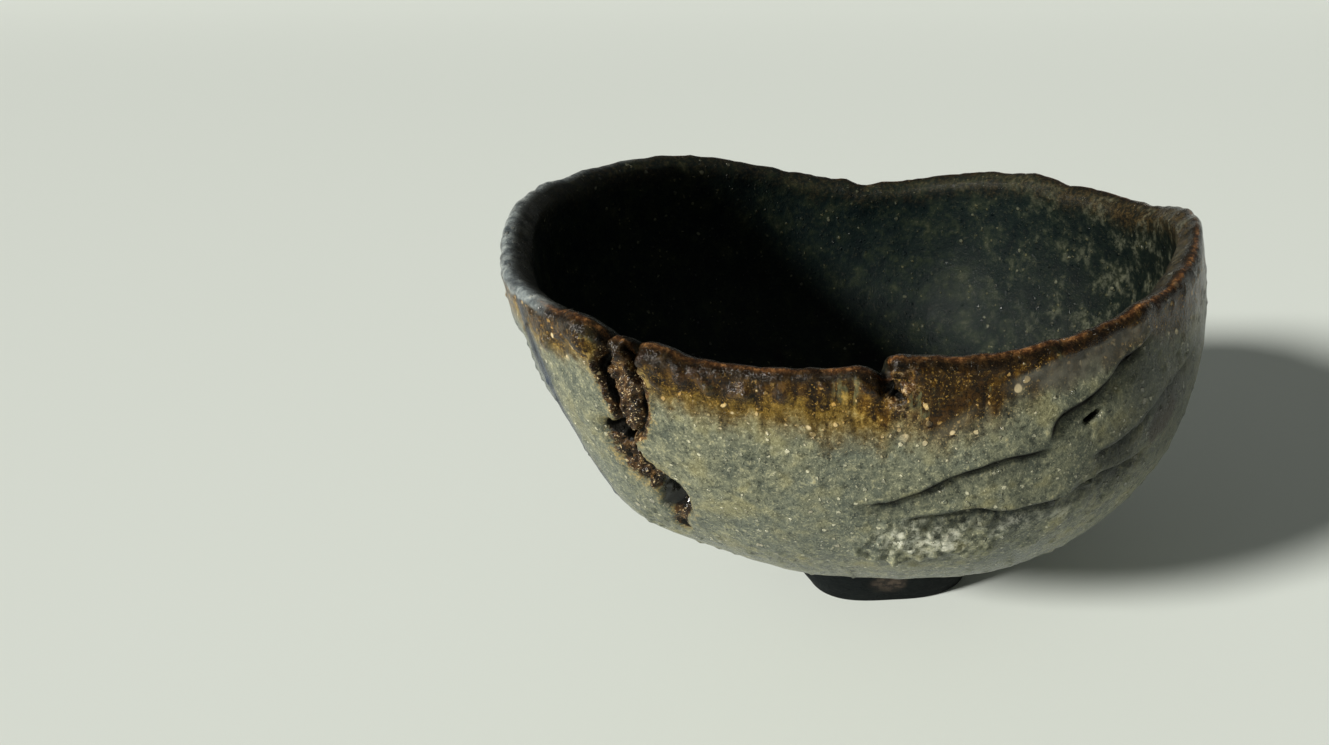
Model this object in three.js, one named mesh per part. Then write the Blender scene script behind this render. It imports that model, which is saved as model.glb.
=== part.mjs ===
import * as THREE from 'three';

// Small hand-built stoneware bowl: one fired piece with a turned-in foot, a lopsided wall
// that is cracked at the front left and folded at the front right, and an uneven rim.
// Millimetres, +Z up, foot on the plane Z = 0, front of the bowl towards -Y.
// Angles are in degrees, counted from +X towards +Y; the front is at 270.

// ---- driving sizes --------------------------------------------------------------------
const RIM_RADIUS = 61.5;        // mean outer radius at the rim
const RIM_HEIGHT = 76.6;        // mean height of the rim crest
const LIP_DROP = 1.2;           // outer edge of the lip lies this far under the crest
const LIP_THICKNESS = 4.6;      // wall at the lip
const BASE_THICKNESS = 6.8;     // wall where it meets the foot
const JUNCTION_RADIUS = 18.2;   // the wall's curve starts from this radius, hidden in the foot
const JUNCTION_HEIGHT = 11.9;
const WALL_STEEPNESS = 0.76;    // lower values give a fuller, steeper wall
const FOOT_HALF = [17.9, 16.8]; // the foot is a rounded square: half its length and half its width
const FOOT_SQUARENESS = 2.8;    // 2 is an ellipse, more is squarer
const FOOT_TURN = 14.3;         // degrees
const FOOT_CENTRE = [4.05, 1.5];// the foot sits a little off the middle of the rim
const LOW_CENTRE = [2.6, 2.0];  // and so does the low part of the wall
const RING_INNER = 13.4;        // inner radius of the standing ring
const RECESS_DEPTH = 3.3;       // hollow under the foot
const WELL_RADIUS = 11.2;       // pool in the middle of the inside floor
const WELL_DEPTH = 3.0;
const COLUMNS = 100;            // facets around
const WALL_ROWS = 18;           // facets up the outside
const INNER_ROWS = 11;          // facets down the inside

// Lopsidedness as waves around the bowl: [cycles, amplitude, phase in degrees]
const RIM_PLAN = [[1, 1.63, -120], [2, 2.38, 5], [3, 0.20, 131], [4, 0.77, -83], [5, 0.84, 116],
  [6, 0.33, 70], [7, 0.38, 141], [8, 0.18, -115], [9, 0.08, -66]];
const RIM_RISE = [[1, 3.10, 138], [2, 3.64, 2], [3, 0.37, 87], [4, 1.07, -102], [5, 0.70, -21],
  [6, 0.54, 27], [7, 0.28, -52], [8, 0.24, 90], [9, 0.18, 19]];
const WALL_CURVE = 1.455;       // above 1 the wall starts more like a cone
const WALL_CURVE_WAVE = [[1, 0.44, -138], [2, 0.08, 154]];
const WALL_BULGE = 2.67;        // outward swell at mid height
const WALL_BULGE_WAVE = [[1, 1.27, 76], [2, 1.18, -44]];

// Broad dents and swellings of the outside: angle, share of the height, spread in degrees,
// spread of the height share, size
const DENTS = [
  { name: 'pressed_left', at: 222.5, up: 0.75, wide: 13.3, tall: 0.31, size: -2.5 },
  { name: 'left_knee', at: 241.3, up: 0.43, wide: 8.8, tall: 0.15, size: 1.9 },
];
// Nicks and knobs of the rim: angle, spread in degrees, change of height, change of radius
const RIM_NICKS = [
  { at: 45.7, wide: 2.6, rise: -0.5, out: -0.7 },
  { at: 22.9, wide: 2.2, rise: -0.4, out: -0.6 },
  { at: 101.6, wide: 3.0, rise: -0.7, out: -0.5 },
  { at: 173.5, wide: 2.2, rise: -0.3, out: -0.6 },
  { at: 249.1, wide: 1.3, rise: -1.3, out: -0.9 },
  { at: 253.7, wide: 1.1, rise: -1.0, out: -0.8 },
  { at: 245.6, wide: 2.6, rise: 0.8, out: 0.7 },
  { at: 257.5, wide: 2.8, rise: 0.5, out: 0.5 },
  { at: 290.6, wide: 3.0, rise: 0.9, out: 0.4 },
  { at: 285.6, wide: 1.3, rise: -1.0, out: -0.6 },
  { at: 322.0, wide: 3.0, rise: 0.8, out: 0.5 },
];
// Cracks and pits: path of [angle, height] points, half width and depth
const GOUGES = [
  { name: 'crack_left', path: [[249.1, 76], [249.7, 71.7], [248.1, 67.7], [249.5, 63.8], [248.6, 58.5]], half: 1.0, deep: 1.7 },
  { name: 'crack_right', path: [[253.6, 75], [253.4, 71.1], [254.1, 66.6], [252.6, 61.5], [250.6, 58]], half: 0.9, deep: 1.5 },
  { name: 'cavity', path: [[247.4, 58.3], [250.4, 57.6]], half: 1.7, deep: 1.5 },
  { name: 'channel', path: [[248, 57], [248.2, 54.5], [249.8, 52], [252.6, 50.8]], half: 1.3, deep: 1.3 },
  { name: 'pit', path: [[252.6, 50], [253.5, 47.5], [253.9, 44.8]], half: 2.1, deep: 2.2 },
  { name: 'tail', path: [[253.2, 43.5], [251.6, 40.4], [252.3, 37.9]], half: 0.9, deep: 0.9 },
  { name: 'notch_crevice', path: [[286.4, 73], [286.3, 69], [288.0, 64.5]], half: 0.8, deep: 1.2 },
];
// Overlapping folds of clay: the edge stands proud above the path and drops in below it
const FOLDS = [
  { name: 'upper_fold', path: [[325, 67.5], [314.7, 65.3], [311.1, 63.2], [307.9, 61.8], [306.8, 58.5]], lip: 0.9, under: 1.0 },
  { name: 'middle_fold', path: [[308, 57], [303.5, 56.5], [296.4, 54.7], [291.2, 51.8], [282, 49.3]], lip: 0.8, under: 0.9 },
  { name: 'lower_fold', path: [[324, 51.2], [314.9, 49.6], [307.9, 47.1], [297.6, 47.4], [291, 46.6], [281, 42.2]], lip: 0.8, under: 1.1 },
  { name: 'left_fold', path: [[196, 68], [204.3, 66.1], [216, 66.8], [229, 68]], lip: 0.6, under: 0.6 },
  { name: 'left_low_fold', path: [[194, 53.4], [201.8, 53.9], [216.8, 52.1], [226, 54]], lip: 0.6, under: 0.6 },
];

const EDGE = 1.2;               // rounding of the fold edges

// ---- helpers --------------------------------------------------------------------------
const RAD = Math.PI / 180;
const bell = (x, w) => Math.exp(-(x / w) * (x / w));
const gap = (a, b) => ((a - b + 540) % 360) - 180;
const wave = (terms, a) => terms.reduce((s, [k, size, phase]) => s + size * Math.cos((k * a - phase) * RAD), 0);
const ramp = (x, a, b) => { const u = Math.min(1, Math.max(0, (x - a) / (b - a))); return u * u * (3 - 2 * u); };

// Distance in mm on the wall from a path, the share of its length reached, and the side
function fromPath(path, a, z) {
  let best = { d: 1e9, u: 0, above: true };
  const n = path.length - 1;
  for (let i = 0; i < n; i++) {
    const k = RIM_RADIUS * RAD;
    const ax = gap(path[i][0], a) * k, ay = path[i][1] - z;
    const bx = gap(path[i + 1][0], a) * k, by = path[i + 1][1] - z;
    const dx = bx - ax, dy = by - ay;
    const u = Math.min(1, Math.max(0, -(ax * dx + ay * dy) / (dx * dx + dy * dy)));
    const px = ax + u * dx, py = ay + u * dy;
    const d = Math.hypot(px, py);
    if (d < best.d) best = { d, u: (i + u) / n, above: py < 0 };
  }
  return best;
}

// Relief of the outside at an angle and height: negative goes into the wall
function relief(a, z) {
  let out = 0;
  for (const g of GOUGES) {
    const p = fromPath(g.path, a, z);
    if (p.d < 3 * g.half) out -= g.deep * bell(p.d, g.half);
  }
  for (const f of FOLDS) {
    const p = fromPath(f.path, a, z);
    const ends = ramp(p.u, 0, 0.15) * ramp(1 - p.u, 0, 0.15);
    if (p.d < 14) out += ends * Math.tanh(p.d / EDGE) * (p.above ? f.lip * Math.exp(-p.d / 5) : -f.under * Math.exp(-p.d / 4));
  }
  return out;
}

const planRadius = (a) => RIM_RADIUS + wave(RIM_PLAN, a);
const nickOut = (a) => RIM_NICKS.reduce((s, n) => s + n.out * bell(gap(a, n.at), n.wide), 0);
const rimRadius = (a) => planRadius(a) + nickOut(a);
const rimHeight = (a) => RIM_HEIGHT + wave(RIM_RISE, a) + RIM_NICKS.reduce((s, n) => s + n.rise * bell(gap(a, n.at), n.wide), 0);

// Outside of the wall without relief, t = 0 at the foot and 1 at the lip
function wall(a, t) {
  const top = rimHeight(a) - LIP_DROP;
  const curve = WALL_CURVE + wave(WALL_CURVE_WAVE, a);
  const bulge = WALL_BULGE + wave(WALL_BULGE_WAVE, a);
  let r = JUNCTION_RADIUS + (planRadius(a) - JUNCTION_RADIUS) * Math.pow(1 - Math.pow(1 - t, 2 / WALL_STEEPNESS), curve / 2);
  r += bulge * 4 * t * (1 - t);
  r += nickOut(a) * ramp(t, 0.86, 1);
  for (const d of DENTS) r += d.size * bell(gap(a, d.at), d.wide) * bell(t - d.up, d.tall) * (1 - t) / (1 - d.up);
  return [r, JUNCTION_HEIGHT + t * (top - JUNCTION_HEIGHT)];
}

// Inside of the wall: the outside set in by the thickness, square to the surface
function inner(a, t) {
  const [r0, z0] = wall(a, Math.max(0.004, t - 0.01)), [r1, z1] = wall(a, Math.min(1, t + 0.01));
  const [r, z] = wall(a, t);
  const len = Math.hypot(r1 - r0, z1 - z0);
  const thick = LIP_THICKNESS + (BASE_THICKNESS - LIP_THICKNESS) * Math.pow(1 - t, 1.2);
  return [r - thick * (z1 - z0) / len, z + thick * (r1 - r0) / len];
}

// ---- section: each row gives [radius, height] for an angle -----------------------------
const rows = [];
// outside of the foot at an angle, where it stands
function footRadius(a) {
  const c = Math.cos((a - FOOT_TURN) * RAD), s = Math.sin((a - FOOT_TURN) * RAD), n = FOOT_SQUARENESS;
  return Math.hypot(FOOT_HALF[0] * c, FOOT_HALF[1] * s) * Math.pow(Math.pow(Math.abs(c), n) + Math.pow(Math.abs(s), n), -1 / n);
}
// how far the foot widens, at each height, towards the wall
const FOOT_FLARE = [[-0.6, 0], [0.4, 1.0], [1.75, 3.4], [3.3, 6.6], [4.6, 9.4], [5.4, 11.5]];
const FOOT_ROWS = 5 + FOOT_FLARE.length;
rows.push(() => [0, RECESS_DEPTH]);
rows.push(() => [6, RECESS_DEPTH - 0.15]);
rows.push(() => [RING_INNER - 2.2, RECESS_DEPTH - 0.7]);
rows.push(() => [RING_INNER - 0.8, 0.9]);
rows.push(() => [RING_INNER, 0]);
for (const [out, z] of FOOT_FLARE) rows.push((a) => [footRadius(a) + out, z]);
for (let k = 1; k <= WALL_ROWS; k++) {
  const t = Math.pow(k / WALL_ROWS, 1.35);
  rows.push((a) => { const [r, z] = wall(a, t); return [Math.max(r, footRadius(a) + 5.4 + 30 * t * (1 - ramp(t, 0.05, 0.12)) - 40 * ramp(t, 0.05, 0.12)) + relief(a, z) * ramp(t, 0, 0.12), z]; });
}
const lipRow = (inset, drop) => (a) => [rimRadius(a) - inset + relief(a, rimHeight(a) - 2) * ramp(LIP_THICKNESS - inset, 0, 3.5) * 0.6, rimHeight(a) - drop];
rows.push(lipRow(0.5, 0.35));
rows.push(lipRow(1.4, 0));
rows.push(lipRow(2.9, 0.7));
rows.push(lipRow(4.1, 1.9));
for (let k = INNER_ROWS; k >= 1; k--) {
  const t = Math.pow(k / (INNER_ROWS + 0.55), 1.35);
  rows.push((a) => inner(a, t));
}
const FLOOR = JUNCTION_HEIGHT + BASE_THICKNESS;
rows.push(() => [WELL_RADIUS + 3.2, FLOOR - 0.1]);
rows.push(() => [WELL_RADIUS, FLOOR - 0.7]);
rows.push(() => [WELL_RADIUS - 2.2, FLOOR - WELL_DEPTH + 0.5]);
rows.push(() => [WELL_RADIUS - 5.4, FLOOR - WELL_DEPTH]);
rows.push(() => [0, FLOOR - WELL_DEPTH - 0.1]);

// ---- columns: closer together across the crack and the notch ---------------------------
const angles = [];
{
  const steps = 3600, sum = [0];
  for (let i = 0; i < steps; i++) {
    const a = (i + 0.5) * 360 / steps;
    sum.push(sum[i] + 1 + 2.6 * bell(gap(a, 251), 7.5) + 1.4 * bell(gap(a, 288), 4));
  }
  let i = 0;
  for (let c = 0; c < COLUMNS; c++) {
    const want = sum[steps] * c / COLUMNS;
    while (sum[i + 1] <= want) i++;
    angles.push((i + (want - sum[i]) / (sum[i + 1] - sum[i])) * 360 / steps);
  }
}

// ---- the solid: a turned section whose points are then moved to their own places -------
const nominal = rows.map((row) => { const [r, z] = row(0); return new THREE.Vector2(r, z); });
const geometry = new THREE.LatheGeometry(nominal, COLUMNS);
const place = geometry.getAttribute('position');
for (let i = 0; i <= COLUMNS; i++) {
  const a = angles[i % COLUMNS];
  for (let j = 0; j < rows.length; j++) {
    const [r, z] = rows[j](a);
    const low = j < FOOT_ROWS + WALL_ROWS ? 1 - ramp(z, 8, 24) : 0;
    const centre = j < FOOT_ROWS ? FOOT_CENTRE : LOW_CENTRE.map((c) => c * low);
    place.setXYZ(i * rows.length + j, r * Math.cos(a * RAD) + centre[0], r * Math.sin(a * RAD) + centre[1], z);
  }
}
geometry.deleteAttribute('normal');
geometry.computeVertexNormals();
geometry.computeBoundingBox();
const box = geometry.boundingBox;
geometry.translate(-(box.min.x + box.max.x) / 2, -(box.min.y + box.max.y) / 2, -box.min.z);

const glaze = new THREE.MeshStandardMaterial({ name: 'glaze', color: 0x7a7a5c, roughness: 0.36, metalness: 0.0 });
const bowl = new THREE.Mesh(geometry, glaze);
bowl.name = 'bowl';

const part = new THREE.Group();
part.name = 'cracked_tea_bowl';
part.add(bowl);
export default part;
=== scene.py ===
import math

import bpy
import numpy as np
from mathutils import Matrix, Vector


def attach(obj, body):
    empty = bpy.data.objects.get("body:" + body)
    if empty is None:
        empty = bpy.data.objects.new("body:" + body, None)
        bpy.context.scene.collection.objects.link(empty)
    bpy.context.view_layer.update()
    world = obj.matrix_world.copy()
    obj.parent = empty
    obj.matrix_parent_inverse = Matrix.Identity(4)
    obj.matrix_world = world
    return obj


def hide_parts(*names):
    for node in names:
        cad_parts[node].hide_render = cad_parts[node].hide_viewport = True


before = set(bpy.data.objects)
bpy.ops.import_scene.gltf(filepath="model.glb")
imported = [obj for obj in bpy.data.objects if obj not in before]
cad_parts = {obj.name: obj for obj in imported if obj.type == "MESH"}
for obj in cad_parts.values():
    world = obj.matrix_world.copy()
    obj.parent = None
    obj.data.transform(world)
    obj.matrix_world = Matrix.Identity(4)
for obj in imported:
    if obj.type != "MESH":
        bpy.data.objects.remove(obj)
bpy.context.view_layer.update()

# =========================================================================================
# Sizes of the bowl, in millimetres. Angles in degrees from +X towards +Y, front at 270.
# =========================================================================================
RIM_RADIUS, RIM_HEIGHT = 61.5, 76.6
LIP_DROP, LIP_THICKNESS, BASE_THICKNESS = 1.2, 4.6, 6.8
JUNCTION_RADIUS, JUNCTION_HEIGHT = 18.2, 11.9
WALL_STEEPNESS = 0.76
FOOT_HALF, FOOT_SQUARENESS, FOOT_TURN = (17.9, 16.8), 2.8, 14.3
FOOT_CENTRE, LOW_CENTRE = (4.05, 1.5), (2.6, 2.0)
RING_INNER, RECESS_DEPTH = 13.4, 3.3
WELL_RADIUS, WELL_DEPTH = 11.2, 3.0
MIDDLE = (-1.325, -0.546)          # middle of the plan, moved onto the origin

COLUMNS = 500
LOW_ROWS, HIGH_ROWS, IN_ROWS, FLOOR_ROWS = 26, 100, 28, 8

RIM_PLAN = [(1, 1.63, -120), (2, 2.38, 5), (3, 0.20, 131), (4, 0.77, -83), (5, 0.84, 116),
            (6, 0.33, 70), (7, 0.38, 141), (8, 0.18, -115), (9, 0.08, -66)]
RIM_RISE = [(1, 3.10, 138), (2, 3.64, 2), (3, 0.37, 87), (4, 1.07, -102), (5, 0.70, -21),
            (6, 0.54, 27), (7, 0.28, -52), (8, 0.24, 90), (9, 0.18, 19)]
WALL_CURVE, WALL_CURVE_WAVE = 1.455, [(1, 0.44, -138), (2, 0.08, 154)]
WALL_BULGE, WALL_BULGE_WAVE = 2.67, [(1, 1.27, 76), (2, 1.18, -44)]
DENTS = [(222.5, 0.75, 13.3, 0.31, -2.5), (241.3, 0.43, 8.8, 0.15, 1.9)]
# rim nicks and knobs: angle, spread, rise, outward
RIM_NICKS = [(45.7, 2.6, -0.5, -0.7), (22.9, 2.2, -0.4, -0.6), (101.6, 3.0, -0.7, -0.5),
             (173.5, 2.2, -0.3, -0.6), (249.1, 1.3, -1.3, -0.9), (253.7, 1.1, -1.0, -0.8),
             (245.6, 2.6, 0.8, 0.7), (257.5, 2.8, 0.5, 0.5), (290.6, 3.0, 0.9, 0.4),
             (285.6, 1.3, -1.0, -0.6), (322.0, 3.0, 0.8, 0.5)]

RAD = math.pi / 180


def bell(x, w):
    return np.exp(-(x / w) ** 2)


def gap(a, b):
    return (a - b + 540.0) % 360.0 - 180.0


def wave(terms, a):
    return sum(size * np.cos((k * a - phase) * RAD) for k, size, phase in terms)


def ramp(x, lo, hi):
    u = np.clip((x - lo) / (hi - lo), 0.0, 1.0)
    return u * u * (3 - 2 * u)


# ---- lattice noise, the same on every run -----------------------------------------------
def _lattice(ix, iy, iz, seed):
    h = (ix.astype(np.int64) * 73856093) ^ (iy.astype(np.int64) * 19349663) ^ (iz.astype(np.int64) * 83492791) ^ (seed * 2654435761)
    h &= 0xFFFFFFFF
    h ^= h >> 15
    h = (h * 2246822519) & 0xFFFFFFFF
    h ^= h >> 13
    h = (h * 3266489917) & 0xFFFFFFFF
    h ^= h >> 16
    return h / 4294967295.0 * 2 - 1


def noise(p, scale, seed=1):
    q = p / scale
    f = np.floor(q)
    u = q - f
    u = u * u * u * (u * (u * 6 - 15) + 10)
    x, y, z = f[..., 0], f[..., 1], f[..., 2]
    total = 0.0
    for i in (0, 1):
        wx = u[..., 0] if i else 1 - u[..., 0]
        for j in (0, 1):
            wy = u[..., 1] if j else 1 - u[..., 1]
            for k in (0, 1):
                wz = u[..., 2] if k else 1 - u[..., 2]
                total = total + wx * wy * wz * _lattice(x + i, y + j, z + k, seed)
    return total


def fbm(p, scale, seed=1, octaves=3, gain=0.5):
    out, size, norm = 0.0, 1.0, 0.0
    for o in range(octaves):
        out = out + size * noise(p, scale / 2 ** o, seed + 17 * o)
        norm += size
        size *= gain
    return out / norm


# ---- paths on the outside: [angle, height] points joined by a smooth curve ---------------
def smooth(path, per=8):
    p = np.array(path, float)
    ext = np.vstack([2 * p[0] - p[1], p, 2 * p[-1] - p[-2]])
    out = []
    for i in range(1, len(ext) - 2):
        for s in range(per):
            t = s / per
            a, b, c, d = ext[i - 1], ext[i], ext[i + 1], ext[i + 2]
            out.append(0.5 * ((2 * b) + (c - a) * t + (2 * a - 5 * b + 4 * c - d) * t * t + (3 * b - a - 3 * c + d) * t ** 3))
    out.append(p[-1])
    return np.array(out)


def from_path(path, a, z, limit=16.0):
    """Distance in mm, share of the path reached, and +1 above or -1 below it."""
    k = RIM_RADIUS * RAD
    best = np.full(a.shape, 1e9)
    share = np.zeros(a.shape)
    side = np.ones(a.shape)
    near = (np.abs(gap(a, float(np.mean(path[:, 0])))) * k < limit + 0.5 * k * (np.ptp(path[:, 0]) + 1)) & \
           (z > path[:, 1].min() - limit) & (z < path[:, 1].max() + limit)
    aa, zz = a[near], z[near]
    b_, s_, d_ = np.full(aa.shape, 1e9), np.zeros(aa.shape), np.ones(aa.shape)
    n = len(path) - 1
    for i in range(n):
        ax, ay = gap(path[i][0], aa) * k, path[i][1] - zz
        bx, by = gap(path[i + 1][0], aa) * k, path[i + 1][1] - zz
        dx, dy = bx - ax, by - ay
        u = np.clip(-(ax * dx + ay * dy) / (dx * dx + dy * dy + 1e-12), 0, 1)
        px, py = ax + u * dx, ay + u * dy
        d = np.hypot(px, py)
        m = d < b_
        b_[m] = d[m]
        s_[m] = ((i + u) / n)[m]
        d_[m] = np.where(py < 0, 1.0, -1.0)[m]
    best[near], share[near], side[near] = b_, s_, d_
    return best, share, side


def rim_plan(a):
    return RIM_RADIUS + wave(RIM_PLAN, a)


def nick_out(a):
    return sum(out * bell(gap(a, at), wide) for at, wide, rise, out in RIM_NICKS)


def rim_rise(a):
    """Nicks, knobs and the step beside the notch: local, so the wall below stays fair."""
    step = 0.95 * np.tanh(gap(a, 286.2) / 0.35) * bell(gap(a, 286.2), 3.2)
    return step + sum(rise * bell(gap(a, at), wide) for at, wide, rise, out in RIM_NICKS)


def rim_height(a):
    return RIM_HEIGHT + wave(RIM_RISE, a) + rim_rise(a)


def wall(a, t):
    top = RIM_HEIGHT + wave(RIM_RISE, a) - LIP_DROP
    curve = WALL_CURVE + wave(WALL_CURVE_WAVE, a)
    bulge = WALL_BULGE + wave(WALL_BULGE_WAVE, a)
    r = JUNCTION_RADIUS + (rim_plan(a) - JUNCTION_RADIUS) * (1 - (1 - t) ** (2 / WALL_STEEPNESS)) ** (curve / 2)
    r = r + bulge * 4 * t * (1 - t) + nick_out(a) * ramp(t, 0.86, 1)
    for at, up, wide, tall, size in DENTS:
        r = r + size * bell(gap(a, at), wide) * bell(t - up, tall) * (1 - t) / (1 - up)
    return r, JUNCTION_HEIGHT + t * (top - JUNCTION_HEIGHT) + rim_rise(a) * ramp(t, 0.88, 1)


def inner(a, t):
    r0, z0 = wall(a, np.maximum(0.004, t - 0.01))
    r1, z1 = wall(a, np.minimum(1.0, t + 0.01))
    r, z = wall(a, t)
    ln = np.hypot(r1 - r0, z1 - z0)
    thick = LIP_THICKNESS + (BASE_THICKNESS - LIP_THICKNESS) * (1 - t) ** 1.2
    return r - thick * (z1 - z0) / ln, z + thick * (r1 - r0) / ln


# ---- columns, closer together at the front, the crack and the notch ----------------------
steps = 7200
aa = (np.arange(steps) + 0.5) * 360 / steps
weight = 1 + 1.7 * ramp(76 - np.abs(gap(aa, 270)), 0, 20) + 5.0 * bell(gap(aa, 250.5), 5.0) + 1.8 * bell(gap(aa, 287.5), 3.0) + 0.8 * bell(gap(aa, 313), 9.0)
total = np.concatenate([[0], np.cumsum(weight)])
A = np.interp(np.arange(COLUMNS) * total[-1] / COLUMNS, total, np.arange(steps + 1) * 360 / steps)

# ---- section rows -----------------------------------------------------------------------
R, Z, T, KIND = [], [], [], []        # one array over the columns for each row
ones = np.ones_like(A)


def foot_radius(a):
    c, s = np.cos((a - FOOT_TURN) * RAD), np.sin((a - FOOT_TURN) * RAD)
    n = FOOT_SQUARENESS
    return np.hypot(FOOT_HALF[0] * c, FOOT_HALF[1] * s) * (np.abs(c) ** n + np.abs(s) ** n) ** (-1 / n)


def row(r, z, t, kind):
    R.append(r * ones)
    Z.append(z * ones)
    T.append(t * ones)
    KIND.append(kind)


FOOT, OUT, LIP, IN, FLOOR = range(5)
foot = foot_radius(A)
row(0.0, RECESS_DEPTH, 0, FOOT)
for r, z in ((4.0, 3.25), (8.5, 3.05), (11.2, 2.4), (12.2, 1.3), (12.8, 0.4), (RING_INNER, 0.0)):
    row(r, z, 0, FOOT)
row((RING_INNER + foot - 0.6) / 2, 0.0, 0, FOOT)
for out_, z in ((-0.6, 0.0), (-0.2, 0.1), (0.1, 0.4), (0.4, 1.0), (1.05, 2.2), (1.75, 3.4), (2.55, 5.0), (3.3, 6.6), (3.95, 8.0), (4.6, 9.4), (5.1, 10.6), (5.4, 11.5)):
    row(foot + out_, z, 0, FOOT)
ts = np.concatenate([0.37 * (np.arange(1, LOW_ROWS + 1) / LOW_ROWS) ** 1.15, 0.37 + 0.63 * np.arange(1, HIGH_ROWS + 1) / HIGH_ROWS])
for t in ts:
    r, z = wall(A, t * ones)
    least = foot + 5.4 + 30 * t * (1 - ramp(t, 0.05, 0.12)) - 40 * ramp(t, 0.05, 0.12)
    row(np.maximum(r, least), z, t, OUT)
LIP_SHAPE = [(0.0, 1.2), (0.12, 0.85), (0.4, 0.4), (0.8, 0.1), (1.3, 0.0), (1.9, 0.15), (2.5, 0.48), (3.1, 0.92), (3.7, 1.5), (4.2, 2.15), (4.6, 2.8)]
for inset in (0.1, 0.3, 0.55, 0.85, 1.15, 1.5, 1.9, 2.35, 2.85, 3.4, 3.95, 4.35):
    drop = float(np.interp(inset, [x for x, y in LIP_SHAPE], [y for x, y in LIP_SHAPE]))
    row(rim_plan(A) + nick_out(A) - inset, rim_height(A) - drop, inset, LIP)
for k in range(IN_ROWS, 0, -1):
    t = 0.965 * (k / IN_ROWS) ** 1.3
    r, z = inner(A, t * ones)
    row(r, z, t, IN)
floor_z = JUNCTION_HEIGHT + BASE_THICKNESS
for k in range(1, FLOOR_ROWS):
    rr = (WELL_RADIUS + 4.0) * (1 - k / FLOOR_ROWS)
    row(rr, floor_z - 0.1 - WELL_DEPTH * (1 - ramp(rr, 5.0, WELL_RADIUS + 2.2)), 0, FLOOR)
row(0.0, floor_z - WELL_DEPTH - 0.1, 0, FLOOR)

R, Z, T = np.array(R), np.array(Z), np.array(T)
KIND = np.array(KIND)
ROWS = len(KIND)
AA = np.broadcast_to(A, R.shape)
low = 1 - ramp(Z, 8, 24)
is_foot, is_out = (KIND == FOOT)[:, None], (KIND == OUT)[:, None]
P = np.stack([R * np.cos(AA * RAD) + np.where(is_foot, FOOT_CENTRE[0], np.where(is_out, LOW_CENTRE[0] * low, 0)),
              R * np.sin(AA * RAD) + np.where(is_foot, FOOT_CENTRE[1], np.where(is_out, LOW_CENTRE[1] * low, 0)), Z], -1)


def grid_normals(P):
    du = np.roll(P, -1, 1) - np.roll(P, 1, 1)
    dv = np.empty_like(P)
    dv[1:-1] = P[2:] - P[:-2]
    dv[0], dv[-1] = P[1] - P[0], P[-1] - P[-2]
    n = np.cross(du, dv)
    n[0], n[-1] = (0, 0, -1), (0, 0, 1)
    return n / np.maximum(np.linalg.norm(n, axis=-1, keepdims=True), 1e-9)


N = grid_normals(P)
K = np.broadcast_to(KIND[:, None], R.shape)
outside = (K == OUT) | (K == LIP)
on_out = np.where(K == OUT, ramp(T, 0, 0.1), 0.0) + np.where(K == LIP, ramp(-T, -3.0, -0.8), 0.0)
inside = np.where(K == LIP, ramp(T, 1.5, 2.9), 0.0) + np.where((K == IN) | (K == FLOOR), 1.0, 0.0)
below_rim = rim_height(A)[None, :] - Z

# =========================================================================================
# Relief, in mm along the surface normal
# =========================================================================================
H = np.zeros_like(R)
crack = np.zeros_like(R)
# painted shade: how dark the grooves, cavities and crevices are coloured
painted_recess_shade = np.zeros_like(R)
fold_painted_shade = np.zeros_like(R)
bead = np.zeros_like(R)

warp_a = AA + 0.35 * noise(P, 2.6, 5)
warp_z = Z + 0.35 * noise(P, 2.2, 6)

# -- the two grooves of the crack, and the strip of clay that stands between them
left_line = smooth([[249.1, 76], [249.5, 72], [248.2, 68.4], [248.7, 65.4], [249.8, 62.4], [249.5, 60.4], [248.6, 58.2]])
right_line = smooth([[253.6, 75], [253.3, 71.5], [254.1, 67.5], [254.0, 63.5], [252.8, 60.3], [250.9, 58.2]])
channel_line = smooth([[248.7, 58], [248.5, 55.5], [249.6, 52.8], [251.6, 50.8], [253.2, 48.8]])
tail_line = smooth([[253.8, 44.4], [252.6, 42.3], [251.7, 40.4], [252.2, 37.6]])
strip_mid = np.interp(Z, [57.5, 60, 64, 68, 72, 76], [249.8, 251.1, 251.8, 251.2, 251.4, 251.4])
strip_half = np.interp(Z, [57.5, 60, 64, 68, 72, 76], [1.2, 1.7, 2.5, 2.9, 2.1, 2.1])
in_strip = ramp(strip_half + 0.2 - np.abs(gap(warp_a, strip_mid)), -0.35, 0.35) * ramp(Z, 57.2, 59.0) * on_out
rough_clay = fbm(P, 1.3, 21, 3, 0.7)
H += in_strip * (-0.5 + 0.85 * rough_clay)
crack = np.maximum(crack, in_strip)
for line, half, depth in ((left_line, 0.55, 2.3), (right_line, 0.50, 2.0)):
    d, u, side = from_path(line, warp_a, warp_z)
    vary = 0.72 + 0.5 * noise(P, 2.4, 31)
    g = bell(d, half * (0.8 + 0.5 * vary)) * on_out
    H -= depth * vary * g
    painted_recess_shade = np.maximum(painted_recess_shade, g * vary)
    crack = np.maximum(crack, bell(d, 1.5) * on_out)
    rag = ramp(1.9 - d, -0.5, 1.0) * on_out
    H += 0.45 * rag * np.clip(noise(P, 0.9, 33), -0.3, 1)
# -- cavity, rough channel, glassy pit and tail
def spot(at, up, wide, tall, tilt=0.0, power=2.0):
    x = gap(warp_a, at) * RIM_RADIUS * RAD
    y = warp_z - up
    c, s = math.cos(tilt * RAD), math.sin(tilt * RAD)
    return np.exp(-((np.abs((x * c + y * s) / wide) ** power + np.abs((-x * s + y * c) / tall) ** power))) * on_out


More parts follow.
